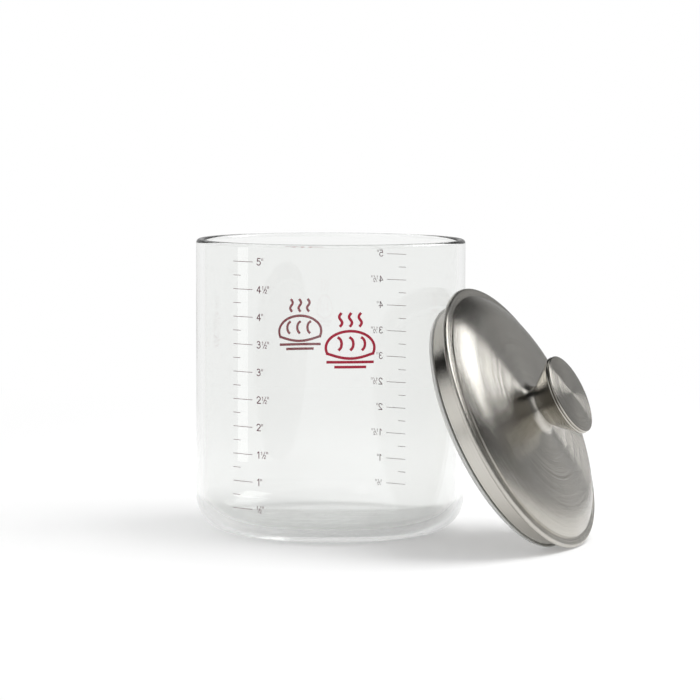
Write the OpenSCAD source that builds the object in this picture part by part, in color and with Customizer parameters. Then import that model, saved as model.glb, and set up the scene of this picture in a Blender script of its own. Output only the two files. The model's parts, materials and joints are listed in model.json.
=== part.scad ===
// Straight-sided glass starter jar with a steel plug lid.
// The jar stands at the origin on its flat base, +Z up. The lid is off and leans on the jar's wall.

/* [Glass jar] */
// Outside diameter of the jar
jar_d = 128; // [90:1:180]
// Height from the base to the top of the rim
jar_h = 138.5; // [100:0.5:240]
// Thickness of the glass wall
wall = 3.7; // [2.5:0.1:5]
// Outside radius between the wall and the base
heel_r = 15.5; // [10:0.5:24]
// Inside radius between the wall and the floor
inner_heel_r = 12; // [6:0.5:20]
// Thickness of the glass under the edge of the inside floor
floor_t = 5; // [4:0.5:9]
// How much the inside floor rises towards the middle
floor_crown = 1.4; // [0.6:0.1:2.5]

/* [Lid shell] */
// How far the lid's edge stands out past the jar's wall
lid_overhang = 0.9; // [0.4:0.1:3]
// Thickness of the rolled edge
bead_d = 2.6; // [2.2:0.1:3.4]
// Thickness of the shell's steel sheet
shell_sheet = 0.8; // [0.6:0.05:0.9]
// Width of the flat flange round the dome
flange_w = 4.5; // [3.5:0.1:7]
// Height of the dome's middle above the flange
dome_h = 8.5; // [8:0.1:18]
// Height of the upright step between the flange and the dome's shoulder
step_h = 0.8; // [0.4:0.1:1.5]
// Slope of the shoulder where it meets the step, in degrees
foot_slope = 40; // [34:1:42]
// Radius of the dome's shoulder
shoulder_r = 24; // [14:0.5:25]
// Diameter of the neck that carries the knob
neck_d = 20.3; // [16:0.1:28]
// Height of the neck's top above the dome's middle
neck_h = 3.9; // [3.9:0.1:9]
// Rounding between the dome and the neck
neck_fillet = 3.6; // [2:0.1:3.7]

/* [Plug pan] */
// Thickness of the pan's steel sheet
pan_sheet = 0.7; // [0.5:0.05:0.9]
// Gap between the pan's skirt and the jar's mouth
skirt_gap = 0.8; // [0.5:0.1:2]
// Depth of the skirt below the flange's middle
skirt_depth = 9.7; // [6:0.1:20]
// How far the seal's seat is drawn in from the skirt
seat_in = 2.7; // [2:0.1:4]
// How far the lip below the seal stands out from its seat
lip_out = 1.3; // [0.8:0.1:1.6]

/* [Seal ring] */
// How far the loose seal is larger than the mouth, in radius
seal_squeeze = 0.05; // [0:0.05:0.4]
// Height of the seal ring
seal_h = 1.7; // [1.2:0.1:3]
// How much smaller the seal's lower edge is, in radius
seal_taper = 0.85; // [0.3:0.05:1.2]
// Rounding of the seal's edges
seal_round = 0.25; // [0.1:0.05:0.4]

/* [Knob] */
// Diameter of the knob's top
knob_d = 38; // [30:0.5:50]
// Height of the knob from the neck to the edge of its cap
knob_h = 13.6; // [11:0.1:25]
// How much wider the knob's foot is than the neck
knob_foot_extra = 0.3; // [0:0.1:1]
// Bevel round the knob's foot
foot_bevel = 0.5; // [0.2:0.1:1]
// Thickness of the knob's wall
knob_wall = 1.2; // [0.8:0.1:1.8]
// Thickness of the knob's floor
knob_floor = 1.6; // [1.2:0.1:3]
// Rounding of the knob's upper edge
rim_round = 0.6; // [0.3:0.05:0.8]
// Thickness of the cap at its edge
cap_t = 1.2; // [1:0.1:2]
// Rounding of the cap's edge
cap_round = 0.45; // [0.2:0.05:0.45]
// How far the cap is set in from the knob's widest edge
cap_set_in = 0.15; // [0:0.05:0.5]
// Rise of the cap's top from its edge to its middle
cap_crown = 0.7; // [0.4:0.1:2]
// Depth of the cap's spigot inside the knob
spigot_h = 2; // [1:0.1:3]

/* [Knob fixing] */
// Diameter of the knob's screw
screw_d = 4; // [3:0.5:5]
// Diameter of the screw's head
head_d = 8; // [7:0.5:10]
// Height of the screw's head
head_h = 2.6; // [2:0.1:3.5]
// Depth of the cross recess in the screw's head
recess_h = 1.4; // [0.8:0.1:1.6]
// Diameter of the washer under the head
washer_d = 12; // [11:0.5:14]
// Thickness of the washer
washer_t = 1; // [0.6:0.1:1.5]
// Diameter of the threaded bush inside the knob
bush_d = 9; // [8:0.5:12]
// Height of the threaded bush
bush_h = 7; // [5:0.5:8]

/* [Clearances] */
// Gap round the screw in the bush
thread_gap = 0.05; // [0.02:0.01:0.1]
// Gap round the screw in the shell, the knob's floor and the washer
hole_gap = 0.2; // [0.15:0.05:0.3]
// Gap between pieces that are folded, pushed or snapped together
fold_gap = 0.1; // [0.05:0.05:0.15]

/* [Leaning lid] */
// Angle of the lid's axis above the level
lean_up = 25.9; // [22:0.1:50]
// Direction that the leaning lid faces, from +X towards +Y
lean_towards = -23.3; // [-80:0.1:0]
// How far the lid's axis passes beside the jar's axis
lean_aside = -10.8; // [-25:0.1:25]
// Gap between the leaning lid and the jar
lean_gap = 0.3; // [0.2:0.05:0.5]

/* [Hidden] */
$fn = 96;

glass_tint = [0.86, 0.89, 0.88, 0.35];
steel = [0.66, 0.65, 0.63];
dark_steel = [0.52, 0.51, 0.5];
silicone = [0.88, 0.88, 0.86, 0.7];
brass = [0.78, 0.66, 0.4];

// Jar
jar_r = jar_d / 2;
mouth_r = jar_r - wall;
rim_r = wall / 2;
crown_half = mouth_r - inner_heel_r;
crown_r = (crown_half * crown_half + floor_crown * floor_crown) / (2 * floor_crown);

// Lid, measured from the middle of its flange: the rolled edge has its middle at height 0
lid_r = jar_r + lid_overhang;
bead_r = bead_d / 2;
bead_at = lid_r - bead_r;
fold_room = bead_r - shell_sheet;
foot_r = lid_r - flange_w;
dome_top = bead_r + dome_h;
shoulder_at = foot_r - shoulder_r * sin(foot_slope);
shoulder_z = bead_r + step_h - shoulder_r * cos(foot_slope);
shoulder_drop = dome_top - shoulder_z;
dome_r = (shoulder_at * shoulder_at + shoulder_drop * shoulder_drop - shoulder_r * shoulder_r)
    / (2 * (shoulder_drop - shoulder_r));
dome_at = dome_top - dome_r;
neck_r = neck_d / 2;
neck_top = dome_top + neck_h;
fillet_at = neck_r + neck_fillet;
fillet_z = dome_at + sqrt(pow(dome_r + neck_fillet, 2) - fillet_at * fillet_at);

// Pan
skirt_r = mouth_r - skirt_gap;
seat_r = skirt_r - seat_in;
seat_h = seal_h + 2 * fold_gap;
lip_r = seat_r + lip_out;
lip_top = -skirt_depth - seat_h;
pan_bottom = lip_top - pan_sheet;
pan_flange_r = bead_at;
pan_flange_t = 2 * (fold_room - fold_gap);
hem_r = bead_at - bead_d * 0.7;

// Seal
seal_r = mouth_r + seal_squeeze;
seal_top = -skirt_depth - fold_gap;
seal_low = seal_top - seal_h;
seal_edge_at = seal_r - seal_round;
seal_edge_z = seal_top - seal_round;
seal_toe_at = seal_edge_at - seal_taper;
seal_toe_z = seal_low + seal_round;
seal_lean = atan2(seal_taper, seal_edge_z - seal_toe_z);

// Knob
knob_r = knob_d / 2;
foot_knob_r = neck_r + knob_foot_extra;
knob_top = neck_top + knob_h - cap_t;
inner_top_r = knob_r - rim_round - knob_wall;
flare = atan2(knob_r - foot_knob_r, knob_top - neck_top);
cap_r = knob_r - cap_set_in;
cap_half = cap_r - cap_round;
cap_ball_r = (cap_half * cap_half + cap_crown * cap_crown) / (2 * cap_crown);
spigot_r = inner_top_r - fold_gap;

// Fixing
screw_r = screw_d / 2;
hole_r = screw_r + hole_gap;
bush_z = neck_top + knob_floor;
neck_under = neck_top - shell_sheet;
screw_tip = bush_z + bush_h - fold_gap;

// Place of the leaning lid: it stands on its lowest edge and its seal meets the jar's wall
function stand(r, drop, edge_r) = r * cos(lean_up) + drop * sin(lean_up) + edge_r;
lid_z = max(stand(bead_at, 0, bead_r), stand(seal_edge_at, -seal_edge_z, seal_round),
            stand(seal_toe_at, -seal_toe_z, seal_round), stand(lip_r, -pan_bottom, 0));
// Least level distance from the jar's axis to an edge circle of the leaning lid
function reach(along, r, drop) =
    min([for (t = [40:1:140])
        norm([along - drop * cos(lean_up) - r * sin(lean_up) * sin(t), lean_aside + r * cos(t)])]);
function nearest(along) = min(reach(along, bead_at, 0) - bead_r,
                              reach(along, seal_edge_at, -seal_edge_z) - seal_round,
                          reach(along, seal_toe_at, -seal_toe_z) - seal_round,
                              reach(along, lip_r, -pan_bottom));
// Distance along the leaning direction at which the nearest edge just clears the wall
function settle(low, high, n) =
    n == 0 ? high
    : let(mid = (low + high) / 2)
      nearest(mid) < jar_r + lean_gap ? settle(mid, high, n - 1) : settle(low, mid, n - 1);
lid_along = settle(jar_r, 4 * jar_r, 24);

// Everything under the dome's outer face, drawn in by t
module dome_outline(t) {
    difference() {
        union() {
            intersection() {
                translate([0, dome_at]) circle(dome_r - t, $fn = 360);
                square([shoulder_at * (dome_r - t) / (dome_r - shoulder_r), dome_top]);
            }
            intersection() {
                translate([shoulder_at, shoulder_z]) circle(shoulder_r - t, $fn = 180);
                square([foot_r - t, dome_top]);
            }
            square([neck_r - t, neck_top - t]);
            square([fillet_at * (dome_r - t) / (dome_r + neck_fillet), fillet_z]);
        }
        // Concave round at the neck's foot
        translate([fillet_at, fillet_z]) circle(neck_fillet + t);
        // Keeps the cut open above the round
        translate([neck_r - t, fillet_z]) square([foot_r, neck_top]);
    }
}

module glass_jar() {
    color(glass_tint) rotate_extrude() {
        difference() {
            union() {
                square([jar_r - heel_r, jar_h - rim_r]);
                translate([0, heel_r]) square([jar_r, jar_h - rim_r - heel_r]);
                intersection() {
                    translate([jar_r - heel_r, heel_r]) circle(heel_r);
                    square([jar_r, 2 * heel_r]);
                }
            }
            // Room inside: straight wall, rounded heel and a slightly crowned floor
            translate([0, floor_t + inner_heel_r]) square([mouth_r, jar_h]);
            difference() {
                union() {
                    translate([0, floor_t]) square([crown_half, inner_heel_r]);
                    intersection() {
                        translate([crown_half, floor_t + inner_heel_r]) circle(inner_heel_r);
                        translate([0, floor_t]) square([mouth_r, inner_heel_r]);
                    }
                }
                translate([0, floor_t + floor_crown - crown_r]) circle(crown_r, $fn = 360);
            }
        }
        // Fire-rounded rim
        intersection() {
            translate([jar_r - rim_r, jar_h - rim_r]) circle(rim_r);
            translate([mouth_r, jar_h - rim_r]) square([wall, wall]);
        }
    }
}

module lid_shell() {
    color(steel) difference() {
        rotate_extrude() {
            difference() {
                union() {
                    intersection() {
                        dome_outline(0);
                        translate([0, fold_room]) square([lid_r, neck_top]);
                    }
                    translate([foot_r - shell_sheet, fold_room])
                        square([bead_at - foot_r + shell_sheet, shell_sheet]);
                }
                intersection() {
                    dome_outline(shell_sheet);
                    square([foot_r, neck_top]);
                }
            }
            // Edge rolled round the pan's flange
            intersection() {
                difference() {
                    translate([bead_at, 0]) circle(bead_r);
                    translate([bead_at, 0]) circle(fold_room);
                }
                translate([bead_at, -bead_r]) square([bead_r, bead_d]);
            }
            translate([hem_r, -bead_r]) square([bead_at - hem_r, shell_sheet]);
        }
        cylinder(r = hole_r, h = neck_top + 1);
    }
}

module lid_pan() {
    color(steel) rotate_extrude() {
        difference() {
            union() {
                translate([0, -skirt_depth]) square([skirt_r, skirt_depth]);
                translate([0, lip_top]) square([seat_r, seat_h]);
                translate([0, pan_bottom]) square([lip_r - pan_sheet / 2, pan_sheet]);
                translate([lip_r - pan_sheet / 2, pan_bottom + pan_sheet / 2]) circle(pan_sheet / 2);
                translate([0, -pan_flange_t / 2]) square([pan_flange_r, pan_flange_t]);
            }
            translate([0, pan_sheet - skirt_depth]) square([skirt_r - pan_sheet, 2 * skirt_depth]);
            translate([0, lip_top]) square([seat_r - pan_sheet, skirt_depth]);
        }
    }
}

module seal_ring() {
    out = seal_round * cos(seal_lean);
    down = seal_round * sin(seal_lean);
    color(silicone) rotate_extrude() {
        polygon([
            [seat_r + fold_gap, seal_low],
            [seal_toe_at, seal_low],
            [seal_toe_at + out, seal_toe_z - down],
            [seal_edge_at + out, seal_edge_z - down],
            [seal_edge_at, seal_top],
            [seat_r + fold_gap, seal_top],
        ]);
        translate([seal_toe_at, seal_toe_z]) circle(seal_round);
        translate([seal_edge_at, seal_edge_z]) circle(seal_round);
    }
}

module knob_cone() {
    color(dark_steel) difference() {
        rotate_extrude() difference() {
            union() {
                polygon([
                    [0, neck_top],
                    [foot_knob_r - foot_bevel, neck_top],
                    [foot_knob_r, neck_top + foot_bevel],
                    [knob_r - rim_round * (1 - cos(flare)), knob_top - rim_round - rim_round * sin(flare)],
                    [knob_r - rim_round, knob_top],
                    [0, knob_top],
                ]);
                translate([knob_r - rim_round, knob_top - rim_round]) circle(rim_round);
            }
            polygon([
                [0, bush_z],
                [foot_knob_r - knob_wall, bush_z],
                [inner_top_r, knob_top - spigot_h],
                [inner_top_r, knob_top + 1],
                [0, knob_top + 1],
            ]);
        }
        translate([0, 0, neck_top - 1]) cylinder(r = hole_r, h = knob_floor + 2);
    }
}

module knob_cap() {
    color(dark_steel) rotate_extrude() {
        translate([0, knob_top]) square([cap_half, cap_t]);
        translate([0, knob_top + cap_round]) square([cap_r, cap_t - 2 * cap_round]);
        for (edge_z = [cap_round, cap_t - cap_round])
            translate([cap_half, knob_top + edge_z]) circle(cap_round);
        intersection() {
            translate([0, knob_top + cap_t + cap_crown - cap_ball_r]) circle(cap_ball_r, $fn = 360);
            translate([0, knob_top + cap_t / 2]) square([cap_half, cap_t + cap_crown]);
        }
        translate([spigot_r - knob_wall, knob_top - spigot_h + fold_gap])
            square([knob_wall, spigot_h]);
    }
}

module knob_bush() {
    color(brass) difference() {
        translate([0, 0, bush_z]) cylinder(d = bush_d, h = bush_h);
        translate([0, 0, bush_z - 1]) cylinder(r = screw_r + thread_gap, h = bush_h + 2);
    }
}

module knob_screw() {
    head_top = neck_under - washer_t;
    color(dark_steel) difference() {
        union() {
            translate([0, 0, head_top - head_h]) cylinder(d = head_d, h = head_h);
            translate([0, 0, head_top - head_h / 2])
                cylinder(d = screw_d, h = screw_tip - head_top + head_h / 2);
        }
        // Cross recess
        for (turn = [0, 90])
            rotate(turn) translate([-head_d / 3, -screw_d / 8, head_top - head_h - 1])
                cube([head_d * 2 / 3, screw_d / 4, recess_h + 1]);
    }
}

module screw_washer() {
    color(steel) difference() {
        translate([0, 0, neck_under - washer_t]) cylinder(d = washer_d, h = washer_t);
        translate([0, 0, neck_under - washer_t - 1]) cylinder(r = hole_r, h = washer_t + 2);
    }
}

// Stands a lid piece on its edge, leaning on the jar
module leaning() {
    rotate(lean_towards) translate([lid_along, lean_aside, lid_z]) rotate([0, 90 - lean_up, 0])
        children();
}

glass_jar();
leaning() lid_shell();
leaning() lid_pan();
leaning() seal_ring();
leaning() knob_cone();
leaning() knob_cap();
leaning() knob_bush();
leaning() knob_screw();
leaning() screw_washer();
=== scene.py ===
"""Sourdough starter jar: clear glass with a dark inch scale and red loaves, a turned steel lid that leans on the
jar's wall, and the studio."""

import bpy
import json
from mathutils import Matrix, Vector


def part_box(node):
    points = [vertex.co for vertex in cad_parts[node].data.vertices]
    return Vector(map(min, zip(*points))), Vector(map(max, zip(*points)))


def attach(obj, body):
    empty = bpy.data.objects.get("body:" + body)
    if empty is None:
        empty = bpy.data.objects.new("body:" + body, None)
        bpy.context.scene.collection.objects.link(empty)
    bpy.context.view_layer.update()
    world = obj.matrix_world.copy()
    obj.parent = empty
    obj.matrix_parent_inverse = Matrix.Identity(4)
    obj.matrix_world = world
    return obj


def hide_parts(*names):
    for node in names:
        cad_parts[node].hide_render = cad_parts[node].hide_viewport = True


bl_info = {
    "name": "Sourdough starter jar",
    "version": (1, 0, 0),
    "blender": (4, 5, 0),
    "location": "View3D > Sidebar > Jar",
    "description": "Builds the glass jar, its printed inch scale and its leaning steel lid",
    "category": "Object",
}

import json
import math

import bpy
import numpy as np
from bpy.props import FloatProperty, FloatVectorProperty, PointerProperty
from mathutils import Matrix, Vector

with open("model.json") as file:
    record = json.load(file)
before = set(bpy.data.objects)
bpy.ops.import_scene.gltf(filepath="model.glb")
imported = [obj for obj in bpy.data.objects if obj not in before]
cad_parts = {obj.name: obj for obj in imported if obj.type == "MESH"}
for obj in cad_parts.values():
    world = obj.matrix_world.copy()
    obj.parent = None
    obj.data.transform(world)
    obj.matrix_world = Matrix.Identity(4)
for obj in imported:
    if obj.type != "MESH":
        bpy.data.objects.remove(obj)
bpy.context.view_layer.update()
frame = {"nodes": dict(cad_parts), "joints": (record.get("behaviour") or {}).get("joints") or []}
JAR_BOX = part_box("glass_jar")
WASHER_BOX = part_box("screw_washer")
LID_AXIS = Vector(frame["joints"][0]["axis"]).normalized()

INCH = 0.0254
WASHER = 0.001  # thickness of the washer under the screw's head
FOLD_GAP = 0.0001  # room between pieces that are folded or pressed together
INK_GAP = 0.00001  # distance between the ink and the glass
INK = 0.00004  # thickness of the ink
ROUND = 288  # steps round the jar and the lid
KNOB_ROUND = 224  # steps round the knob


# Sizes and colours

def length(name, text, value):
    return FloatProperty(name=name, description=text, default=value, unit="LENGTH", precision=5)


def colour(name, text, value):
    return FloatVectorProperty(name=name, description=text, default=value, subtype="COLOR", min=0, max=1)


def number(name, text, value):
    return FloatProperty(name=name, description=text, default=value, subtype="FACTOR")


def degrees(name, text, value):
    return FloatProperty(name=name, description=text, default=math.radians(value), unit="ROTATION")


class JarPlan(bpy.types.PropertyGroup):
    radius: length("Radius", "Outside radius of the jar", JAR_BOX[1].x)
    height: length("Height", "Height of the jar", JAR_BOX[1].z)
    wall: length("Wall", "Thickness of the glass wall", 0.0037)
    heel: length("Heel", "Outside radius between wall and base", 0.0155)
    inner_heel: length("Inner heel", "Inside radius between wall and floor", 0.012)
    floor: length("Floor", "Thickness of the glass under the edge of the inside floor", 0.005)
    crown: length("Crown", "Rise of the inside floor towards its middle", 0.0014)
    tint: colour("Tint", "Colour of the glass", (0.928, 0.934, 0.926))
    pane: colour("Pane", "Share of a lamp's light that passes the glass", (0.62, 0.625, 0.62))
    index: number("Index", "How strongly the glass bends light", 1.47)


class PrintPlan(bpy.types.PropertyGroup):
    ink: colour("Ink", "Colour of the scale's print", (0.12, 0.03, 0.045))
    red: colour("Red", "Colour of the loaves' print", (0.42, 0.006, 0.035))
    line: length("Line", "Width of a scale mark's line", 0.00025)
    stroke: length("Stroke", "Width of a number's line", 0.00043)
    fine: length("Fine stroke", "Width of the line of a fraction or an inch sign", 0.00024)
    long_mark: length("Long mark", "Length of the marks at whole and half inches", 0.0114)
    short_mark: length("Short mark", "Length of the marks at the quarters", 0.0043)
    number_at: length("Number's place", "From the start of a mark to its number", 0.0138)
    number_size: length("Number's size", "Height of the numbers", 0.0031)
    front_turn: degrees("Front turn", "Where the front scale's marks begin", -44.0)
    rear_turn: degrees("Rear turn", "Where the rear scale's marks begin", 143.1)
    front_zero: length("Front zero", "Height of the front scale's zero", 0.00315)
    rear_zero: length("Rear zero", "Height of the rear scale's zero", 0.0015)
    loaf: length("Loaf", "Width of a loaf", 0.0225)
    loaf_line: length("Loaf's line", "Width of the loaves' lines", 0.00125)
    front_loaf_turn: degrees("Front loaf's turn", "Where the front loaf stands", 8.5)
    rear_loaf_turn: degrees("Rear loaf's turn", "Where the rear loaf stands", 194.8)
    front_loaf_height: length("Front loaf's height", "Height of the front loaf's middle", 0.0905)
    rear_loaf_height: length("Rear loaf's height", "Height of the rear loaf's middle", 0.0885)


class LidPlan(bpy.types.PropertyGroup):
    edge: length("Edge", "Radius of the lid's rolled edge", 0.0649)
    bead: length("Bead", "Half of the rolled edge's thickness", 0.0013)
    sheet: length("Sheet", "Thickness of the shell's sheet", 0.0008)
    flange: length("Flange", "Width of the flange", 0.0045)
    dome: length("Dome", "Height of the dome's middle above the flange", 0.0085)
    step: length("Step", "Height of the upright step between the flange and the shoulder", 0.0008)
    foot_slope: degrees("Foot slope", "Slope where the shoulder meets the step", 40.0)
    shoulder: length("Shoulder", "Radius of the dome's shoulder", 0.024)
    neck: length("Neck", "Radius of the neck", 0.01015)
    neck_rise: length("Neck rise", "Height of the neck above the dome", 0.0039)
    neck_fillet: length("Neck fillet", "Rounding at the neck's foot", 0.0036)
    skirt: length("Skirt", "Radius of the plug's skirt", 0.0595)
    skirt_depth: length("Skirt depth", "Depth of the skirt below the flange", 0.0097)
    seat_in: length("Seat", "How far the seal's seat is drawn in", 0.0027)
    lip: length("Lip", "How far the lip stands out from the seat", 0.0013)
    pan_sheet: length("Pan sheet", "Thickness of the pan's sheet", 0.0007)
    seal_radius: length("Seal radius", "Radius of the seal", 0.06035)
    seal_height: length("Seal height", "Height of the seal", 0.0017)
    seal_taper: length("Seal taper", "How much smaller the seal's lower edge is", 0.00085)
    seal_round: length("Seal round", "Rounding of the seal's edges", 0.00025)
    knob: length("Knob", "Radius of the knob's top", 0.019)
    knob_foot: length("Knob foot", "Radius of the knob's foot", 0.01045)
    knob_height: length("Knob height", "Height of the knob's cone", 0.0124)
    knob_wall: length("Knob wall", "Thickness of the cone's wall", 0.0012)
    knob_floor: length("Knob floor", "Thickness of the cone's floor", 0.0016)
    knob_rim: length("Knob rim", "Rounding of the cone's rim", 0.0006)
    knob_bevel: length("Knob bevel", "Bevel at the cone's foot", 0.0005)
    cap: length("Cap", "Thickness of the knob's cap at its edge", 0.0012)
    cap_crown: length("Cap crown", "Rise of the cap towards its middle", 0.0007)
    cap_round: length("Cap round", "Rounding of the cap's edge", 0.00045)
    cap_inset: length("Cap inset", "How far the cap's edge stands in from the cone's", 0.00015)
    spigot: length("Spigot", "How far the cap reaches into the cone", 0.0019)
    hole: length("Hole", "Radius of the screw's hole", 0.0022)
    steel: colour("Steel", "Colour of the lid's steel", (0.62, 0.60, 0.555))
    knob_steel: colour("Knob steel", "Colour of the knob's steel", (0.54, 0.52, 0.475))
    silicone: colour("Silicone", "Colour of the seal", (0.90, 0.90, 0.87))


class StagePlan(bpy.types.PropertyGroup):
    floor: colour("Floor", "Colour of the floor", (0.82, 0.82, 0.82))
    wall: number("Wall", "Level of the wall behind that steel and glass mirror", 0.43)
    side: number("Side", "Level of the room's sides and front that steel and glass mirror", 0.08)
    window: number("Window", "Level of the bright patches at the left that steel and glass mirror", 0.95)
    right: number("Right", "Level of the pale patch at the right that steel and glass mirror", 0.12)
    fade: number("Fade", "Share of the mirrored wall that is gone at the top", 0.93)
    table: number("Table", "Level of the far floor that steel and glass mirror", 0.7)
    glow: number("Glow", "Own light of the floor where the eye or a mirror sees it", 0.25)
    through: number("Through", "Level of the room that is seen through the glass away from the backdrop", 0.8)
    back: number("Back", "Level of the backdrop that is seen through the glass", 0.77)
    level: number("Level", "Level of the light from all round", 0.55)
    key: number("Key", "Power of the large lamp above at the right, which throws the shadows, in watts", 18.0)
    edge: number("Edge", "Power of the lamp at the right rear that draws the steel's bright spoke, in watts", 9.4)
    strip: number("Strip", "Power of the narrow upright lamp at the left that the skirt mirrors, in watts", 0.06)


PLANS = {"jar_plan": JarPlan, "print_plan": PrintPlan, "lid_plan": LidPlan, "stage_plan": StagePlan}


# Outlines

def arc(centre, radius, start, end, steps=12):
    """Points on a circle: centre plus radius times (cos t, sin t), t from start to end in degrees."""
    t = np.radians(np.linspace(start, end, steps))
    return np.stack([centre[0] + radius * np.cos(t), centre[1] + radius * np.sin(t)], 1)


def bent(corners, support=0.00012):
    """A line through corners (r, z, bend): each corner is cut back by bend * tan(half its turn) and rounded by an
    arc that touches both its sides. Points just off the arcs' ends keep the straights flat."""
    points = [np.array([corners[0][:2]], float)]
    for before, here, after in zip(corners, corners[1:], corners[2:]):
        p = np.array(here[:2], float)
        u = np.array(before[:2], float) - p
        v = np.array(after[:2], float) - p
        u /= np.linalg.norm(u)
        v /= np.linalg.norm(v)
        half = math.acos(max(-1.0, min(1.0, float(u @ v)))) / 2
        bend = here[2]
        cut = bend / math.tan(half)
        middle = p + (u + v) / np.linalg.norm(u + v) * bend / math.sin(half)
        a = math.degrees(math.atan2(*(p + u * cut - middle)[::-1]))
        b = math.degrees(math.atan2(*(p + v * cut - middle)[::-1]))
        turn = (b - a + 180) % 360 - 180
        points.append([p + u * (cut + support)])
        points.append(arc(middle, bend, a, a + turn, max(4, int(abs(turn) / 9))))
        points.append([p + v * (cut + support)])
    points.append([corners[-1][:2]])
    return np.concatenate(points)


def joined(*parts):
    """The parts one after another, without points that fall on the one before."""
    line = np.concatenate([np.asarray(p, float) for p in parts])
    keep = np.ones(len(line), bool)
    keep[1:] = np.linalg.norm(np.diff(line, axis=0), axis=1) > 1e-7
    return line[keep]


def even(line, spacing):
    """The line with points added, so that none are further apart than spacing."""
    gaps = np.linalg.norm(np.diff(line, axis=0), axis=1)
    parts = [
        a + (b - a) * np.arange(n)[:, None] / n
        for a, b, n in zip(line, line[1:], np.ceil(gaps / spacing).astype(int))
    ]
    return np.concatenate(parts + [line[-1:]])


def run(start, end, spacing, support=0.0001):
    """A straight line with points no further apart than spacing, and one close to each end, which keeps the smooth
    shading of the round beside it off the flat."""
    start, end = np.array(start, float), np.array(end, float)
    ahead = (end - start) / np.linalg.norm(end - start) * support
    return joined([start], even(np.array([start + ahead, end - ahead]), spacing), [end])


# Surfaces

def lid_place():
    """The lid's own frame: Z along its axis, its middle that of the flange, found from the washer, which lies right
    under the sheet of the neck's top."""
    plan = bpy.context.scene.lid_plan
    middle = (WASHER_BOX[0] + WASHER_BOX[1]) / 2 - LID_AXIS * (neck_top(plan) - plan.sheet - WASHER / 2)
    side = Vector((0, 0, 1)).cross(LID_AXIS).normalized()
    up = side.cross(LID_AXIS)
    turn = Matrix((up, side, LID_AXIS)).transposed()
    return Matrix.Translation(middle) @ turn.to_4x4()


def neck_top(plan):
    """Height of the neck's top above the middle of the flange."""
    return plan.bead + plan.dome + plan.neck_rise


def add_mesh(name, points, faces, place=None, smooth=True):
    """A mesh object at the origin, its points carried to their place. The faces come in blocks, each an array with
    one face's corners in a row."""
    points = np.asarray(points, float)
    if place is not None:
        points = points @ np.array(place.to_3x3()).T + np.array(place.translation)
    sizes = np.concatenate([np.full(len(block), block.shape[1]) for block in faces])
    mesh = bpy.data.meshes.new(name)
    mesh.vertices.add(len(points))
    mesh.vertices.foreach_set("co", points.astype(np.float32).ravel())
    mesh.loops.add(int(sizes.sum()))
    mesh.loops.foreach_set("vertex_index", np.concatenate([block.ravel() for block in faces]).astype(np.int32))
    mesh.polygons.add(len(sizes))
    mesh.polygons.foreach_set("loop_start", np.concatenate([[0], np.cumsum(sizes)[:-1]]).astype(np.int32))
    mesh.polygons.foreach_set("use_smooth", np.full(len(sizes), smooth))
    mesh.update(calc_edges=True)
    mesh.validate()
    piece = bpy.data.objects.new(name, mesh)
    bpy.context.scene.collection.objects.link(piece)
    return piece


def turned(name, outline, steps, place=None):
    """The outline (r, z) turned about Z: point (i, j) is (r_i cos a_j, r_i sin a_j, z_i), a_j = 2 pi j / steps.
    An outline that ends on the axis at both ends closes in two poles; any other closes on itself. It runs so that
    the solid is on its left, from the bottom outwards and up, and the faces then point outwards."""
    poles = outline[0, 0] < 1e-9 and outline[-1, 0] < 1e-9
    ring = outline[1:-1] if poles else outline
    at = np.arange(steps)
    turn = 2 * math.pi * at / steps
    r, z = ring[:, 0][:, None], ring[:, 1][:, None]
    grid = np.stack([r * np.cos(turn), r * np.sin(turn), z + 0 * turn], -1).reshape(-1, 3)
    rows = len(ring)
    i = np.arange(rows - 1 if poles else rows)
    after = (at + 1) % steps
    a = (i[:, None] * steps + at).ravel()
    b = (i[:, None] * steps + after).ravel()
    up = np.repeat(((i + 1) % rows - i) * steps, steps)
    faces = [np.stack([a, b, b + up, a + up], 1)]
    if poles:
        grid = np.concatenate([grid, [[0, 0, outline[0, 1]], [0, 0, outline[-1, 1]]]])
        low, high = len(grid) - 2, len(grid) - 1
        top = (rows - 1) * steps
        faces += [np.stack([after, at, low + 0 * at], 1), np.stack([top + at, top + after, high + 0 * at], 1)]
    return add_mesh(name, grid, faces, place)


# Shader maths

class Term:
    """One output of a node. The signs + - * and ** on it add Math nodes; numbers alone stay in Python."""

    def __init__(self, kit, socket):
        self.kit = kit
        self.socket = socket

    def _sum(self, kind, a, b):
        return self.kit.make("ShaderNodeMath", {"operation": kind}, {0: a, 1: b})

    def __add__(self, other):
        return self._sum("ADD", self, other)

    def __radd__(self, other):
        return self._sum("ADD", other, self)

    def __sub__(self, other):
        return self._sum("SUBTRACT", self, other)

    def __rsub__(self, other):
        return self._sum("SUBTRACT", other, self)

    def __mul__(self, other):
        return self._sum("MULTIPLY", self, other)

    def __rmul__(self, other):
        return self._sum("MULTIPLY", other, self)

    def __pow__(self, other):
        return self._sum("POWER", self, other)

    def most(self, other):
        return self._sum("MAXIMUM", self, other)

    def between(self, low, high):
        """0 below low, 1 above high, and a smooth rise from one to the other."""
        return self.kit.make(
            "ShaderNodeMapRange",
            {"interpolation_type": "SMOOTHSTEP"},
            {"Value": self, "From Min": low, "From Max": high},
        )


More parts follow.
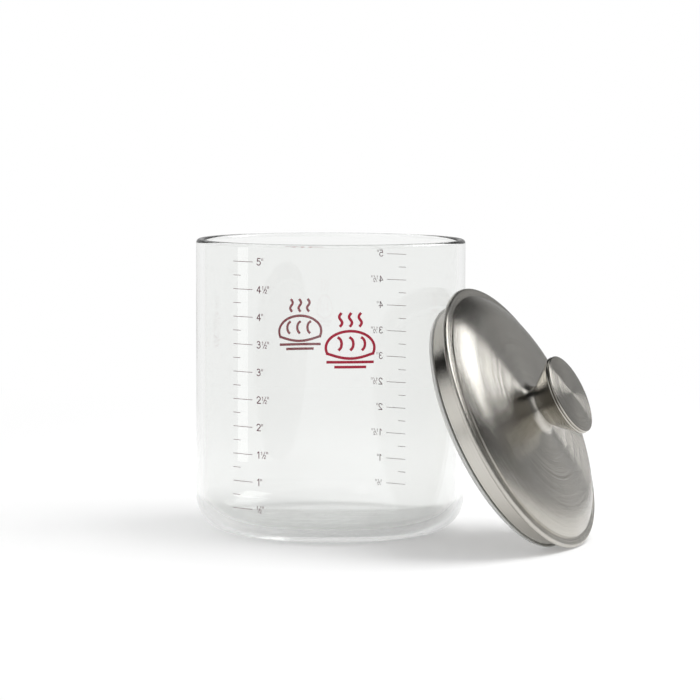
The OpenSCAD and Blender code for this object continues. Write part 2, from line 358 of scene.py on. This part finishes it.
class Kit:
    """Adds nodes to one material or world."""

    def __init__(self, tree):
        self.tree = tree
        tree.nodes.clear()

    def make(self, kind, settings=None, inputs=None, out=0):
        """A node of that kind with its settings, then its sockets' values or links; gives its output."""
        node = self.tree.nodes.new(kind)
        for name, value in (settings or {}).items():
            setattr(node, name, value)
        for name, value in (inputs or {}).items():
            if isinstance(value, Term):
                self.tree.links.new(value.socket, node.inputs[name])
            else:
                node.inputs[name].default_value = value
        return Term(self, node.outputs[out])

    def here(self):
        """The point's place in its object, which is the shared frame at rest."""
        return self.make("ShaderNodeTexCoord", out=3)

    def parts(self, vector):
        """The three numbers of a vector."""
        node = self.tree.nodes.new("ShaderNodeSeparateXYZ")
        self.tree.links.new(vector.socket, node.inputs[0])
        return [Term(self, socket) for socket in node.outputs]

    def rays(self):
        """1 or 0: whether a ray comes from the eye, from a mirror, and through glass."""
        node = self.tree.nodes.new("ShaderNodeLightPath")
        kinds = ("Is Camera Ray", "Is Glossy Ray", "Is Transmission Ray")
        return [Term(self, node.outputs[kind]) for kind in kinds]

    def mix(self, factor, a, b):
        """The colour a where factor is 0 and b where it is 1."""
        return self.make("ShaderNodeMix", {"data_type": "RGBA"}, {0: factor, 6: flat(a), 7: flat(b)}, out=2)

    def vector(self, kind, a, b=(0, 0, 0), out=0):
        return self.make("ShaderNodeVectorMath", {"operation": kind}, {0: a, 1: b}, out)

    def noise(self, at, scale, detail):
        return self.make("ShaderNodeTexNoise", {}, {"Vector": at, "Scale": scale, "Detail": detail})

    def noise_along(self, at, scale):
        """Noise of one number, for marks that run round with the tool."""
        return self.make("ShaderNodeTexNoise", {"noise_dimensions": "1D"}, {"W": at, "Scale": scale, "Detail": 2.0})

    def principled(self, inputs):
        return self.make("ShaderNodeBsdfPrincipled", {}, inputs)

    def finish(self, shader):
        node = self.tree.nodes.new("ShaderNodeOutputMaterial")
        self.tree.links.new(shader.socket, node.inputs["Surface"])


def flat(value):
    """A colour of three numbers with its alpha; anything else as it is."""
    return value if isinstance(value, Term) or len(value) == 4 else (*value, 1.0)


def scaled(tone, *shares):
    """The colour with its parts times the three shares, or all of them times the only one."""
    return tuple(min(1.0, part * share) for part, share in zip(tone, shares * (3 // len(shares))))


def new_material(name):
    material = bpy.data.materials.new(name)
    material.use_nodes = True
    return material, Kit(material.node_tree)


def glass_material(plan):
    """Clear glass with faint ripples from the mould. Lamps shine through it, so its shadow stays pale."""
    material, kit = new_material("clear_glass")
    ripple = kit.noise(kit.here(), 14.0, 1.0)
    bump = kit.make("ShaderNodeBump", {}, {"Strength": 0.08, "Distance": 0.001, "Height": ripple})
    body = kit.principled({
        "Base Color": flat(plan.tint),
        "Roughness": 0.0,
        "IOR": plan.index,
        "Transmission Weight": 1.0,
        "Normal": bump,
    })
    pane = kit.make("ShaderNodeBsdfTransparent", {}, {"Color": flat(plan.pane)})
    shadow = kit.make("ShaderNodeLightPath", out=1)
    kit.finish(kit.make("ShaderNodeMixShader", {}, {0: shadow, 1: body, 2: pane}))
    return material


GROOVES = 14000.0  # cells of noise to a metre, for the tiny grooves
RINGS = 1500.0  # the same for the wider rings
RING_LEAN = 0.06  # how far the rings lean the surface
DOWN = 1.37  # how fast the marks follow each other along the axis, against outwards
PAINTED_SEAM_SHADE = (0.06, 0.052, 0.045)  # painted shade: colour of the steel down in a seam, dark as the shadow in the fold
PAINTED_SHADE_EDGE = 0.00008  # width of the painted shade's soft edge


def steel_material(name, tone, slope, roughness, shade_band=None):
    """Steel turned on a lathe: each tiny groove leans the surface a little along the cut, so lamps draw out into
    spokes, and wider rings vary the polish. The band from a lower to an upper height in the lid's own frame gets
    painted shade: a dark colour for the shadow in the narrow gap where two pieces meet."""
    material, kit = new_material(name)
    place = lid_place()
    turn = place.to_euler()
    own = kit.make(
        "ShaderNodeMapping",
        {"vector_type": "TEXTURE"},
        {"Vector": kit.here(), "Location": place.translation, "Rotation": turn},
    )
    x, y, z = kit.parts(own)
    along = (x * x + y * y) ** 0.5 - z * DOWN
    round_own = kit.make("ShaderNodeCombineXYZ", {}, {0: 0.0 - y, 1: x, 2: 0.0})
    round_here = kit.make("ShaderNodeMapping", {"vector_type": "VECTOR"}, {"Vector": round_own, "Rotation": turn})
    around = kit.make(
        "ShaderNodeVectorTransform",
        {"vector_type": "VECTOR", "convert_from": "OBJECT", "convert_to": "WORLD"},
        {0: round_here},
    )
    face = kit.make("ShaderNodeNewGeometry", out=1)
    across = kit.vector("CROSS_PRODUCT", face, kit.vector("NORMALIZE", around))
    grooves = kit.noise_along(along, GROOVES) - 0.5
    rings = kit.noise_along(along, RINGS) - 0.5
    lean = grooves * (slope * 2) + rings * RING_LEAN
    step = kit.make("ShaderNodeVectorMath", {"operation": "SCALE"}, {0: across, "Scale": lean})
    cloud = kit.noise(own, 55.0, 3.0)
    warm = kit.mix(cloud.between(0.3, 0.7), tone, scaled(tone, 0.93, 0.92, 0.9))
    color = kit.mix(rings.between(-0.25, 0.25), warm, scaled(tone, 0.88))
    if shade_band:
        low, high = shade_band
        # painted shade: between the two heights the colour goes to the dark tone of the shadow in the fold
        color = kit.mix((z - low).between(0, PAINTED_SHADE_EDGE) * (high - z).between(0, PAINTED_SHADE_EDGE), color, PAINTED_SEAM_SHADE)
    kit.finish(kit.principled({
        "Base Color": color,
        "Metallic": 1.0,
        "Roughness": roughness + rings * 0.05 + cloud * 0.03,
        "Normal": kit.vector("NORMALIZE", kit.vector("ADD", face, step)),
    }))
    return material


def silicone_material(plan):
    """Milky clear rubber with a soft sheen and fine dust."""
    material, kit = new_material("clear_silicone")
    dust = kit.noise(kit.here(), 900.0, 3.0)
    kit.finish(kit.principled({
        "Base Color": kit.mix(dust, plan.silicone, scaled(plan.silicone, 0.88)),
        "Roughness": 0.22 + dust * 0.2,
        "IOR": 1.41,
        "Transmission Weight": 0.1,
    }))
    return material


def ink_material(name, tone):
    """Screen-printed enamel, a little uneven in depth."""
    material, kit = new_material(name)
    depth = kit.noise(kit.here(), 1400.0, 2.0)
    kit.finish(kit.principled({
        "Base Color": kit.mix(depth, tone, scaled(tone, 1.4)),
        "Roughness": 0.35 + depth * 0.15,
        "Coat Weight": 0.2,
    }))
    return material


def plain_metal(name, tone, roughness):
    """Small turned metal parts with fine marks and a cloudy polish."""
    material, kit = new_material(name)
    here = kit.here()
    marks = kit.noise(here, 2500.0, 2.0)
    cloud = kit.noise(here, 260.0, 3.0)
    kit.finish(kit.principled({
        "Base Color": kit.mix(cloud, tone, scaled(tone, 0.85)),
        "Metallic": 1.0,
        "Roughness": roughness + cloud * 0.15,
        "Normal": kit.make("ShaderNodeBump", {}, {"Strength": 0.2, "Distance": 0.00002, "Height": marks}),
    }))
    return material


def dress(piece, material, body, node=None):
    """Gives a piece its finish and its body, and hides the CAD node that it stands for."""
    piece.data.materials.clear()
    piece.data.materials.append(material)
    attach(piece, body)
    if node:
        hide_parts(node)
    return piece


# Pieces

class JAR_OT_glass(bpy.types.Operator):
    """The jar: an outline from the base's middle out round the heel, up the wall, over the rim, down inside
    and back to the middle of the crowned floor, turned about the jar's axis"""

    bl_idname = "jar.glass"
    bl_label = "Glass jar"

    def execute(self, context):
        p = context.scene.jar_plan
        rim = p.wall / 2
        mouth = p.radius - p.wall
        floor_edge = mouth - p.inner_heel
        ball = (floor_edge**2 + p.crown**2) / (2 * p.crown)
        tilt = math.degrees(math.asin(floor_edge / ball))
        outline = joined(
            [[0, 0]],
            run((0.0005, 0), (p.radius - p.heel, 0), 0.004),
            arc((p.radius - p.heel, p.heel), p.heel, -90, 0, 32),
            run((p.radius, p.heel), (p.radius, p.height - rim), 0.006),
            arc((p.radius - rim, p.height - rim), rim, 0, 180, 24),
            run((mouth, p.height - rim), (mouth, p.floor + p.inner_heel), 0.006),
            arc((floor_edge, p.floor + p.inner_heel), p.inner_heel, 0, -90, 28),
            arc((0, p.floor + p.crown - ball), ball, 90 - tilt, 90, 20),
        )
        outline[-1, 0] = 0
        piece = turned("jar_glass", outline, ROUND)
        dress(piece, glass_material(p), "jar", "glass_jar")
        return {"FINISHED"}


def shell_line(p, t):
    """The shell's outer face, drawn in by t: neck, hollow round, dome, shoulder, step, flange, rolled edge, hem.
    The dome's circle touches the shoulder's, which meets the step's top with the foot's slope."""
    foot = p.edge - p.flange
    bead_at = p.edge - p.bead
    shoulder_at = foot - p.shoulder * math.sin(p.foot_slope)
    shoulder_z = p.bead + p.step - p.shoulder * math.cos(p.foot_slope)
    dome_top = p.bead + p.dome
    drop = dome_top - shoulder_z
    ball = (shoulder_at**2 + drop**2 - p.shoulder**2) / (2 * (drop - p.shoulder))
    dome_at = dome_top - ball
    fillet_at = p.neck + p.neck_fillet
    fillet_z = dome_at + math.sqrt((ball + p.neck_fillet) ** 2 - fillet_at**2)
    top = neck_top(p) - t
    touch_in = math.degrees(math.atan2(fillet_z - dome_at, fillet_at))
    touch_out = math.degrees(math.atan2(shoulder_z - dome_at, shoulder_at))
    foot_turn = math.degrees(math.acos((foot - t - shoulder_at) / (p.shoulder - t)))
    step_top = shoulder_z + (p.shoulder - t) * math.sin(math.radians(foot_turn))
    hem = bead_at - p.bead * 1.4
    return joined(
        bent([(p.hole, top, 0), (p.neck - t, top, 0.0004), (p.neck - t, fillet_z, 0)]),
        arc((fillet_at, fillet_z), p.neck_fillet + t, 180, 180 + touch_in, 20),
        even(arc((0, dome_at), ball - t, touch_in, touch_out, 60), 0.001),
        arc((shoulder_at, shoulder_z), p.shoulder - t, touch_out, foot_turn + 0.5, 30),
        bent([
            (foot - t - 0.0001, step_top + 0.00008, 0), (foot - t, step_top, 0.00008),
            (foot - t, p.bead - t, 0.0003), (bead_at, p.bead - t, 0),
        ], 0.00005),
        arc((bead_at, 0), p.bead - t, 90, -90, 24),
        [[hem, t - p.bead]],
    )


class JAR_OT_lid(bpy.types.Operator):
    """The lid's sheets: the shell, with its edge rolled round the pan's flange, and the pan that makes the plug"""

    bl_idname = "jar.lid"
    bl_label = "Lid shell and pan"

    def execute(self, context):
        p = context.scene.lid_plan
        place = lid_place()
        outer, inner = shell_line(p, 0), shell_line(p, p.sheet)
        shell = turned("lid_dome", joined(outer, inner[::-1])[::-1], ROUND, place)
        steel = steel_material("lid_turned_steel", tuple(p.steel), 1.3, 0.17)
        dress(shell, steel, "lid", "lid_shell")
        seat = p.skirt - p.seat_in
        lip = seat + p.lip
        lip_top = -p.skirt_depth - p.seal_height - 2 * FOLD_GAP
        bottom = lip_top - p.pan_sheet
        flange = p.bead - p.sheet - FOLD_GAP
        bead_at = p.edge - p.bead
        s = p.pan_sheet
        outline = bent([
            (0, bottom, 0), (lip, bottom, s * 0.45), (lip, lip_top, s * 0.45), (seat, lip_top, 0.0002),
            (seat, -p.skirt_depth, 0.0003), (p.skirt, -p.skirt_depth, 0.0006), (p.skirt, -flange, 0.0005),
            (bead_at, -flange, 0.0001), (bead_at, flange, 0.0001), (p.skirt - s, flange, 0.0004),
            (p.skirt - s, s - p.skirt_depth, 0.0003), (seat - s, s - p.skirt_depth, 0.0003),
            (seat - s, lip_top, 0.0003), (0, lip_top, 0),
        ])
        pan = turned("lid_plug", even(outline, 0.003), ROUND, place)
        # the band at the skirt's foot where the seal sits, which gets painted shade
        shade_band = (-p.skirt_depth - 0.0004, -p.skirt_depth + 0.00035)
        steel = steel_material("plug_turned_steel", tuple(p.steel), 0.35, 0.16, shade_band)
        dress(pan, steel, "lid", "lid_pan")
        return {"FINISHED"}


class JAR_OT_seal(bpy.types.Operator):
    """The sealing ring: a band that narrows downwards, with rounded edges, turned about the lid's axis"""

    bl_idname = "jar.seal"
    bl_label = "Seal ring"

    def execute(self, context):
        p = context.scene.lid_plan
        seat = p.skirt - p.seat_in + FOLD_GAP
        top = -p.skirt_depth - FOLD_GAP
        low = top - p.seal_height
        lean = math.atan2(p.seal_taper, p.seal_height - 2 * p.seal_round)
        edge = p.seal_radius - p.seal_round
        corner = edge + p.seal_round * (math.cos(lean) + math.tan(lean) * (1 + math.sin(lean)))
        toe = edge - p.seal_taper + p.seal_round * (math.cos(lean) - math.tan(lean) * (1 - math.sin(lean)))
        middle = (seat + toe) / 2
        outline = bent([
            (middle, low, 0), (toe, low, p.seal_round), (corner, top, p.seal_round),
            (seat, top, 0.0002), (seat, low, 0.0002), (middle - 0.0002, low, 0),
        ])
        piece = turned("seal_band", outline, ROUND, lid_place())
        dress(piece, silicone_material(p), "lid", "seal_ring")
        return {"FINISHED"}


class JAR_OT_knob(bpy.types.Operator):
    """The knob: a flared hollow cone with a rounded rim, and the cap that closes it"""

    bl_idname = "jar.knob"
    bl_label = "Knob"

    def execute(self, context):
        p = context.scene.lid_plan
        place = lid_place()
        foot = neck_top(p)
        top = foot + p.knob_height
        rim = p.knob_rim
        inner = p.knob - rim - p.knob_wall
        floor = foot + p.knob_floor
        flare = math.atan2(p.knob - p.knob_foot, p.knob_height)
        cone = joined(
            bent([
                (p.hole, foot, 0), (p.knob_foot - p.knob_bevel, foot, 0.0002),
                (p.knob_foot, foot + p.knob_bevel, 0.0002),
                (p.knob - rim * (1 - math.cos(flare)), top - rim * (1 + math.sin(flare)), 0),
            ]),
            arc((p.knob - rim, top - rim), rim, -math.degrees(flare), 90, 16),
            bent([
                (p.knob - rim, top, 0), (inner, top, 0.0001), (inner, top - p.spigot - FOLD_GAP, 0.0002),
                (p.knob_foot - p.knob_wall, floor, 0.0003), (p.hole, floor, 0),
            ]),
        )
        body = turned("knob_flare", even(cone, 0.002), KNOB_ROUND, place)
        steel = steel_material("knob_turned_steel", tuple(p.knob_steel), 0.6, 0.16)
        dress(body, steel, "lid", "knob_cone")
        edge = p.cap_round
        half = p.knob - p.cap_inset - edge
        ball = (half**2 + p.cap_crown**2) / (2 * p.cap_crown)
        tilt = math.degrees(math.asin(half / ball))
        spigot = inner - FOLD_GAP
        hollow = spigot - p.knob_wall
        low = top - p.spigot
        cap = joined(
            bent([
                (0, top, 0), (hollow, top, 0.0002), (hollow, low, 0.0002),
                (spigot, low, 0.0002), (spigot, top, 0.0002), (half - 0.0002, top, 0),
            ]),
            arc((half, top + edge), edge, -90, 0, 10),
            arc((half, top + p.cap - edge), edge, 0, 90 - tilt, 10),
            even(arc((0, top + p.cap + p.cap_crown - ball), ball, 90 - tilt, 90, 20), 0.0008),
        )
        cap[-1, 0] = 0
        disc = turned("knob_disc", cap, KNOB_ROUND, place)
        face = steel_material("cap_turned_steel", tuple(p.knob_steel), 1.15, 0.13)
        dress(disc, face, "lid", "knob_cap")
        return {"FINISHED"}


class JAR_OT_fixing(bpy.types.Operator):
    """Finishes for the bush, screw and washer inside the lid"""

    bl_idname = "jar.fixing"
    bl_label = "Knob fixing"

    def execute(self, context):
        brass = plain_metal("turned_brass", (0.70, 0.52, 0.24), 0.25)
        bright = plain_metal("plated_screw", (0.62, 0.62, 0.63), 0.2)
        for node, material in (("knob_bush", brass), ("knob_screw", bright), ("screw_washer", bright)):
            mesh = frame["nodes"][node].data
            mesh.materials.clear()
            mesh.materials.append(material)
        return {"FINISHED"}


# Print

# The strokes of each sign, in a box that is one unit high
DIGITS = {
    "1": [[(0.2, 0.78), (0.42, 1.0), (0.42, 0.0)]],
    "2": [[*arc((0.36, 0.7), 0.29, 165, -40, 12), (0.06, 0.0), (0.68, 0.0)]],
    "3": [[*arc((0.34, 0.75), 0.25, 150, -80, 10)], [*arc((0.34, 0.29), 0.29, 90, -150, 12)]],
    "4": [[(0.5, 0.0), (0.5, 1.0), (0.04, 0.28), (0.7, 0.28)]],
    "5": [[(0.6, 1.0), (0.16, 1.0), (0.1, 0.56), *arc((0.33, 0.33), 0.32, 125, -150, 14)]],
    "/": [[(0.0, 0.0), (0.5, 1.0)]],
    '"': [[(0.0, 1.0), (0.0, 0.72)], [(0.2, 1.0), (0.2, 0.72)]],
}


def written(label, height):
    """The strokes of a number such as 4 1/2: first the whole number's, then the finer ones of the small raised and
    lowered figures and of the inch sign."""
    whole, fine = [], []
    at = 0.0
    for sign in label:
        if sign == "h":
            for part, size, dx, dz in (("1", 0.52, 0.0, 0.48), ("/", 1.0, 0.26, 0.0), ("2", 0.52, 0.52, 0.0)):
                fine += [np.array(s) * size * height + (at + dx * height, dz * height) for s in DIGITS[part]]
        else:
            (fine if sign == '"' else whole).extend(np.array(s) * height + (at, 0.0) for s in DIGITS[sign])
        at += {"h": 1.0, '"': 0.35, "1": 0.72}.get(sign, 0.86) * height
    return whole, fine


def inked(name, strokes, widths, turn, lift, radius):
    """Lines of ink on the glass. Each stroke is a path (a, z) in metres with a square section carried along it: its
    sides are the path plus and minus half its width across, and a is wound round the jar, at turn + a / radius.
    The ink lies a hundredth of a millimetre off the glass, so light that runs inside the wall doesn't meet it."""
    inner = radius + INK_GAP
    outer = inner + INK
    points, faces, first = [], [], 0
    for stroke, width in zip(strokes, widths):
        path = even(np.asarray(stroke, float), 0.0004)
        ahead = np.gradient(path, axis=0)
        ahead /= np.linalg.norm(ahead, axis=1)[:, None]
        ends = np.zeros(len(path))
        ends[0], ends[-1] = -1, 1
        path = path + ahead * ends[:, None] * width / 2
        across = np.stack([-ahead[:, 1], ahead[:, 0]], 1) * width / 2
        sides = np.stack([path + across, path - across], 1)
        angle = turn + sides[..., 0] / radius
        z = sides[..., 1] + lift
        shell = np.stack([
            np.stack([r * np.sin(angle[:, k]), -r * np.cos(angle[:, k]), z[:, k]], 1)
            for r, k in ((outer, 0), (outer, 1), (inner, 1), (inner, 0))
        ], 1)
        n = len(path)
        i = np.arange(n - 1)[:, None] * 4
        k = np.arange(4)[None, :]
        k_next = (k + 1) % 4
        quads = np.stack([i + k, i + 4 + k, i + 4 + k_next, i + k_next], -1).reshape(-1, 4)
        caps = np.array([[0, 1, 2, 3], [4 * n - 1, 4 * n - 2, 4 * n - 3, 4 * n - 4]])
        points.append(shell.reshape(-1, 3))
        faces.append((np.concatenate([quads, caps]) + first)[:, ::-1])
        first += 4 * n
    return add_mesh(name, np.concatenate(points), faces, smooth=False)


def scale_strokes(plan):
    """An inch scale: a mark at each quarter inch from a half to five, long and numbered at the halves."""
    strokes, widths = [], []
    for quarter in range(2, 21):
        z = quarter * INCH / 4
        whole, part = divmod(quarter, 4)
        numbered = quarter % 2 == 0
        strokes.append([(0.0, z), (plan.long_mark if numbered else plan.short_mark, z)])
        widths.append(plan.line)
        if numbered:
            label = (str(whole) if whole else "") + ("h" if part == 2 else "") + '"'
            low = z - plan.number_size * 0.45
            for lines, width in zip(written(label, plan.number_size), (plan.stroke, plan.fine)):
                strokes += [s + (plan.number_at, low) for s in lines]
                widths += [width] * len(lines)
    return strokes, widths


def loaf_strokes(plan):
    """A plain round loaf in line: an oval crust, a foot that sags a little, three curved cuts, three curls of steam
    over it and two lines under it, in units of the loaf's width."""
    t = np.radians(np.linspace(-20, 200, 40))
    crust = np.stack([0.5 * np.cos(t), 0.34 * np.sin(t) + 0.05], 1)
    foot = np.stack([np.linspace(crust[-1, 0], crust[0, 0], 24), np.full(24, crust[0, 1])], 1)
    foot[:, 1] -= 0.10 * np.sin(np.pi * np.arange(24) / 23)
    bow = np.radians(np.linspace(-60, 70, 12))
    cuts = [np.stack([x + 0.09 * np.cos(bow), 0.13 + 0.13 * np.sin(bow)], 1) for x in (-0.27, -0.03, 0.21)]
    wave = np.linspace(0, 2 * np.pi, 16)
    steam = [np.stack([x + 0.03 * np.sin(wave), np.linspace(0.50, 0.74, 16)], 1) for x in (-0.2, 0.0, 0.2)]
    board = [[(-0.46, -0.24), (0.46, -0.24)], [(-0.3, -0.34), (0.3, -0.34)]]
    strokes = [np.asarray(s) * plan.loaf for s in [crust, foot, *cuts, *steam, *board]]
    return strokes, [plan.loaf_line] * len(strokes)


class JAR_OT_print(bpy.types.Operator):
    """The print: a dark inch scale at the front and one at the back, and a plain red loaf beside each"""

    bl_idname = "jar.print"
    bl_label = "Print"

    def execute(self, context):
        p = context.scene.print_plan
        radius = context.scene.jar_plan.radius
        dark = ink_material("dark_print", tuple(p.ink))
        red = ink_material("red_print", tuple(p.red))
        scale, loaf = scale_strokes(p), loaf_strokes(p)
        rows = (
            ("front_scale", scale, p.front_turn, p.front_zero, dark),
            ("rear_scale", scale, p.rear_turn, p.rear_zero, dark),
            ("front_loaf", loaf, p.front_loaf_turn, p.front_loaf_height, red),
            ("rear_loaf", loaf, p.rear_loaf_turn, p.rear_loaf_height, red),
        )
        for name, (strokes, widths), turn, lift, ink in rows:
            dress(inked(name, strokes, widths, turn, lift, radius), ink, "jar")
        return {"FINISHED"}


# Stage

CAMERA = {
    "x": 0.00926286, "back": 1.42647676, "height": 0.20608576,
    "pitch": 0.0844597295, "roll": 0.003424815, "lens": 154.3238,
}
BOUNCES = 80  # light runs a long way inside the thick wall before it leaves at the rim


def studio_tones(kit, plan):
    """Levels of the room by direction. What steel and glass mirror: a grey wall behind, darker at the sides and the
    front, which fades upwards, a bright patch at the left rear, one at the left front and a pale one at the right.
    What is seen through the glass: a light room, a little darker behind."""
    x, y, z = kit.parts(kit.make("ShaderNodeTexCoord"))
    wall = plan.side + (plan.wall - plan.side) * y.between(0.35, 0.8)
    rear = y.between(0.4, 0.6) * z.between(0.25, 0.45)
    front = (0 - y).between(0.05, 0.35)
    left = (0 - x).between(0.15, 0.35) * (rear + front)
    right = x.between(0.72, 0.88)
    mirrored = wall * (1 - z.between(0.1, 0.55) * plan.fade) + left * plan.window + right * plan.right
    through = plan.through + (plan.back - plan.through) * y.between(0.35, 0.75)
    return mirrored, through


class JAR_OT_stage(bpy.types.Operator):
    """The floor, the pale room round it, three lamps and the camera"""

    bl_idname = "jar.stage"
    bl_label = "Stage"

    def execute(self, context):
        scene = context.scene
        plan = scene.stage_plan
        scene.view_settings.view_transform = "Standard"
        scene.cycles.max_bounces = BOUNCES
        scene.cycles.transmission_bounces = BOUNCES
        scene.cycles.glossy_bounces = BOUNCES
        self.floor(plan)
        self.room(scene, plan)
        key = self.lamp("key_lamp", (0.85, 0.03, 1.5), (1.3, 1.3), plan.key)
        key.visible_glossy = False
        key.visible_transmission = False
        edge = self.lamp("edge_lamp", (1.27, 0.41, 1.17), (0.85, 0.85), plan.edge)
        edge.visible_diffuse = False
        strip = self.lamp("strip_lamp", (-0.34, -0.105, 0.075), (0.065, 0.15), plan.strip)
        strip.visible_camera = False
        strip.visible_diffuse = False
        strip.visible_transmission = False
        self.camera(scene)
        return {"FINISHED"}

    def floor(self, plan):
        """A round floor just under the jar, one flat disc of rings, which fades into the white of the backdrop."""
        reach = np.array([0.0005, 0.2, 0.6, 1.5, 4, 10, 30])[:, None]
        steps = 64
        below = 0.0002
        at = np.arange(steps)
        turn = 2 * math.pi * at / steps
        grid = np.stack([reach * np.cos(turn), reach * np.sin(turn), 0 * reach * turn], -1)
        points = np.concatenate([grid.reshape(-1, 3), [[0, 0, 0]]]) - (0, 0, below)
        i, j = np.meshgrid(np.arange(len(reach) - 1), at, indexing="ij")
        a, b = (i * steps + j).ravel(), (i * steps + (j + 1) % steps).ravel()
        rings = np.stack([a, a + steps, b + steps, b], 1)
        hub = np.stack([at, (at + 1) % steps, 0 * at + len(points) - 1], 1)
        floor = add_mesh("floor", points, [rings, hub])
        material, kit = new_material("pale_floor")
        far = kit.vector("LENGTH", kit.here(), out=1).between(0.25, 0.7)
        paper = kit.make("ShaderNodeBsdfDiffuse", {}, {"Color": flat(plan.floor)})
        glow = kit.make("ShaderNodeEmission", {}, {"Color": (1, 1, 1, 1), "Strength": plan.glow})
        lit = kit.make("ShaderNodeAddShader", {}, {0: paper, 1: glow})
        eye, mirror, through = kit.rays()
        level = 1 - mirror * (1 - through) * (1 - plan.table)
        white = kit.make("ShaderNodeEmission", {}, {"Color": (1, 1, 1, 1), "Strength": level})
        seen = kit.make("ShaderNodeMixShader", {}, {0: far, 1: lit, 2: white})
        shown = eye.most(mirror).most(through)
        kit.finish(kit.make("ShaderNodeMixShader", {}, {0: shown, 1: paper, 2: seen}))
        floor.data.materials.append(material)

    def room(self, scene, plan):
        """White to the eye; to steel and glass, the studio's tones; to everything else, one plain level."""
        scene.world = scene.world or bpy.data.worlds.new("room")
        scene.world.use_nodes = True
        kit = Kit(scene.world.node_tree)
        eye, mirror, through = kit.rays()
        mirrored, clear = studio_tones(kit, plan)
        shown = mirror * (1 - through) * mirrored + through * clear
        strength = eye + (1 - eye) * (shown + (1 - mirror.most(through)) * plan.level)
        light = kit.make("ShaderNodeBackground", {}, {"Color": (1, 1, 1, 1), "Strength": strength})
        end = kit.tree.nodes.new("ShaderNodeOutputWorld")
        kit.tree.links.new(light.socket, end.inputs["Surface"])

    def lamp(self, name, at, size, power):
        """A flat lamp of that width and height, which faces the middle between the jar and the lid."""
        light = bpy.data.lights.new(name, "AREA")
        light.shape = "RECTANGLE"
        light.size, light.size_y = size
        light.energy = power
        lamp = bpy.data.objects.new(name, light)
        lamp.location = at
        middle = Vector((0.03, -0.02, 0.06))
        lamp.rotation_euler = (middle - Vector(at)).to_track_quat("-Z", "Y").to_euler()
        bpy.context.scene.collection.objects.link(lamp)
        return lamp

    def camera(self, scene):
        """The photo's camera: level right and up axes, pitched down and rolled a trace."""
        c = CAMERA
        camera = bpy.data.objects.new("camera", bpy.data.cameras.new("camera"))
        camera.data.sensor_width = 36
        camera.data.lens = c["lens"]
        camera.data.clip_end = 100
        right = Vector((1, 0, 0))
        up = Vector((0, math.sin(c["pitch"]), math.cos(c["pitch"])))
        back = Vector((0, -math.cos(c["pitch"]), math.sin(c["pitch"])))
        cos, sin = math.cos(c["roll"]), math.sin(c["roll"])
        axes = Matrix((right * cos + up * sin, up * cos - right * sin, back)).transposed()
        camera.matrix_world = Matrix.Translation((c["x"], -c["back"], c["height"])) @ axes.to_4x4()
        scene.collection.objects.link(camera)
        scene.camera = camera


OPERATORS = (JAR_OT_stage, JAR_OT_glass, JAR_OT_print, JAR_OT_lid, JAR_OT_seal, JAR_OT_knob, JAR_OT_fixing)


class JAR_PT_panel(bpy.types.Panel):
    """The jar's sizes, colours and pieces"""

    bl_idname = "JAR_PT_panel"
    bl_label = "Sourdough starter jar"
    bl_space_type = "VIEW_3D"
    bl_region_type = "UI"
    bl_category = "Jar"

    def draw(self, context):
        for name, plan in PLANS.items():
            box = self.layout.box()
            for field in plan.__annotations__:
                box.prop(getattr(context.scene, name), field)
        for operator in OPERATORS:
            self.layout.operator(operator.bl_idname)


def register():
    for cls in (*PLANS.values(), *OPERATORS, JAR_PT_panel):
        bpy.utils.register_class(cls)
    for name, plan in PLANS.items():
        setattr(bpy.types.Scene, name, PointerProperty(type=plan))


def unregister():
    for name in PLANS:
        delattr(bpy.types.Scene, name)
    for cls in (JAR_PT_panel, *reversed(OPERATORS), *reversed(list(PLANS.values()))):
        bpy.utils.unregister_class(cls)


def main():
    register()
    for operator in OPERATORS:
        group, name = operator.bl_idname.split(".")
        getattr(getattr(bpy.ops, group), name)()


if __name__ == "__main__":
    main()
